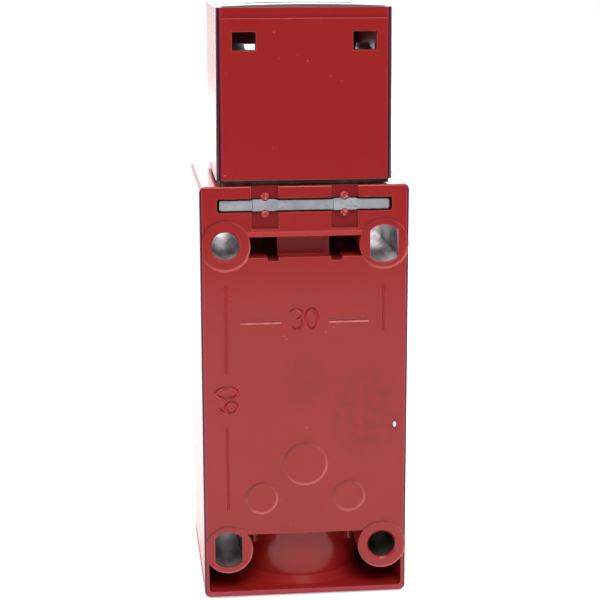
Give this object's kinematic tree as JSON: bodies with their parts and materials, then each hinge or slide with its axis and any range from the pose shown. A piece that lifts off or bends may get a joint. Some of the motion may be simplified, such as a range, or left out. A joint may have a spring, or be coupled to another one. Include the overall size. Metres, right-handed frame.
{
  "type": "tongue interlock switch",
  "caption": "Die-cast safety switch with a narrow rectangular body, a square turret head with two tongue slots and a cable entry below",
  "frame": {"origin": "centre of the four fixing holes, on the mounting plane that the rings round the holes stand on", "axes": "+Y out of the mounting side, away from the switch; +Z from the cable entry towards the turret head; +X to the left when the mounting side is looked at with the head up"},
  "size_m": [0.04, 0.044, 0.1146],
  "materials": {
    "red_paint": "semi-gloss powder coat",
    "galvanised_steel": "galvanised",
    "plate_steel": "satin stainless",
    "screw_steel": "zinc plated",
    "spring_steel": "drawn wire",
    "rotor_steel": "sintered",
    "cast_zinc": "as cast",
    "contact_metal": "stamped",
    "black_rubber": "matt",
    "block_plastic": "moulded",
    "clear_lid": "moulded",
    "carrier_plastic": "moulded"
  },
  "bodies": {
    "body": {"housing": "red_paint", "retaining_fork": "galvanised_steel", "contact_block_case": "block_plastic", "contact_block_cover": "clear_lid", "fixed_contacts": "contact_metal", "terminal_screws": "screw_steel", "terminal_clamps": "screw_steel", "block_screws": "screw_steel", "earth_screw": "contact_metal", "earth_clamp": "contact_metal", "carrier_spring": "spring_steel", "cover": "red_paint", "cover_gasket": "black_rubber", "cover_screws": "screw_steel", "screw_washers": "screw_steel"},
    "contact_slider": {"contact_carrier": "carrier_plastic", "contact_bridges": "contact_metal", "bridge_springs": "spring_steel"},
    "head": {"head_housing": "red_paint", "guide_plate": "plate_steel", "guide_plate_rivets": "plate_steel", "turret_neck": "cast_zinc", "neck_screws": "screw_steel", "head_base_gasket": "black_rubber", "neck_o_ring": "black_rubber", "plunger_bush": "contact_metal", "rotor_pin": "screw_steel", "lever_pin": "screw_steel", "plunger_spring": "spring_steel", "lever_springs": "spring_steel"},
    "rotor": {"rotor_drum": "rotor_steel", "rotor_discs": "plate_steel"},
    "plunger": {"plunger": "rotor_steel"},
    "lever_left": {"latch_lever_left": "plate_steel"},
    "lever_right": {"latch_lever_right": "plate_steel"}
  },
  "joints": [
    {"name": "head_turn", "type": "hinge", "parent": "body", "child": "head", "pos_m": [0, -0.0168, 0.0423], "axis": [0, 0, 1], "continuous": true},
    {"name": "rotor_turn", "type": "hinge", "parent": "head", "child": "rotor", "pos_m": [0, -0.0168, 0.0575], "axis": [1, 0, 0], "range_deg": [-45, 0]},
    {"name": "plunger_slide", "type": "slide", "parent": "head", "child": "plunger", "axis": [0, 0, 1], "range_m": [0, 0.003], "deforming": ["plunger_spring"]},
    {"name": "contact_slide", "type": "slide", "parent": "body", "child": "contact_slider", "axis": [0, 0, 1], "range_m": [0, 0.003], "deforming": ["carrier_spring"]},
    {"name": "lever_left_swing", "type": "hinge", "parent": "head", "child": "lever_left", "pos_m": [0, -0.0058, 0.0639], "axis": [1, 0, 0], "range_deg": [0, 12], "deforming": ["lever_springs"]},
    {"name": "lever_right_swing", "type": "hinge", "parent": "head", "child": "lever_right", "pos_m": [0, -0.0058, 0.0639], "axis": [1, 0, 0], "range_deg": [0, 12]}
  ],
  "couplings": [
    {"joint": "rotor_turn", "follows": "plunger_slide", "rad_per_m": -261.8},
    {"joint": "contact_slide", "follows": "plunger_slide", "ratio": 1},
    {"joint": "lever_left_swing", "follows": "plunger_slide", "rad_per_m": 69.813},
    {"joint": "lever_right_swing", "follows": "plunger_slide", "rad_per_m": 69.813}
  ]
}
